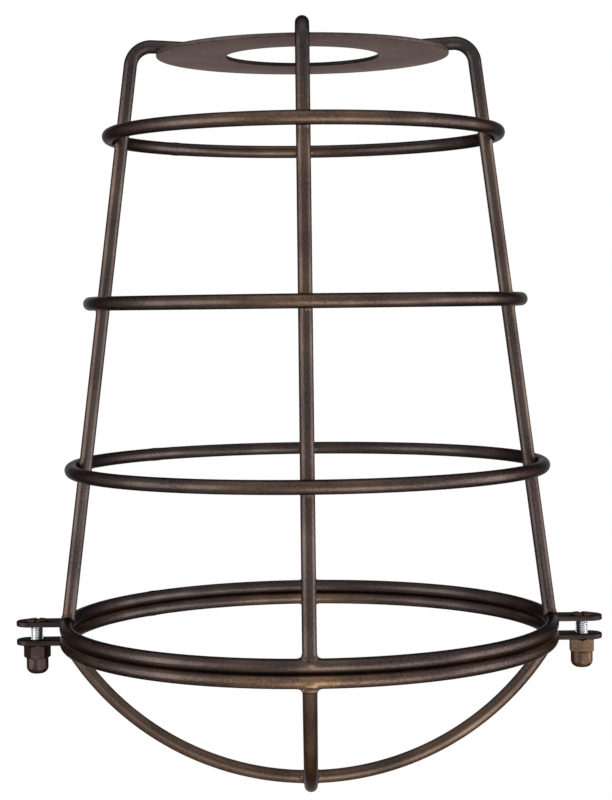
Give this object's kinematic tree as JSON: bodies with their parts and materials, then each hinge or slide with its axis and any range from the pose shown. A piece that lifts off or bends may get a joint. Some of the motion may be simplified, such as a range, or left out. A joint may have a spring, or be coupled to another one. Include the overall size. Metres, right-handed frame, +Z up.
{
  "type": "bulb cage guard",
  "caption": "Tapered wire bulb cage with a flat fitter plate, bent legs inside welded hoops, and a bolted-on lower guard of crossing wire bows held at clamp ears.",
  "frame": {"origin": "centre of the fitter plate's round hole, half way through the plate's thickness", "axes": "+Z up, along the hole's axis, the way the lamp socket leaves; +X towards the right clamp ear; -Y towards the front leg"},
  "size_m": [0.1616, 0.1368, 0.2049],
  "materials": {
    "bronze_wire": "satin",
    "zinc_screw": "bright",
    "bronze_nut": "satin"
  },
  "bodies": {
    "root": {"fitter_plate": "bronze_wire", "leg_left": "bronze_wire", "leg_right": "bronze_wire", "leg_front": "bronze_wire", "leg_back": "bronze_wire", "hoop_upper": "bronze_wire", "hoop_middle": "bronze_wire", "hoop_lower": "bronze_wire", "rim_hoop": "bronze_wire", "guard_hoop": "bronze_wire", "bow_side": "bronze_wire", "bow_front": "bronze_wire", "bow_back": "bronze_wire", "upper_tab_left": "bronze_wire", "upper_tab_right": "bronze_wire", "lower_tab_left": "bronze_wire", "lower_tab_right": "bronze_wire", "screw_left": "zinc_screw", "screw_right": "zinc_screw", "acorn_nut_left": "bronze_nut", "acorn_nut_right": "bronze_nut"}
  },
  "joints": []
}
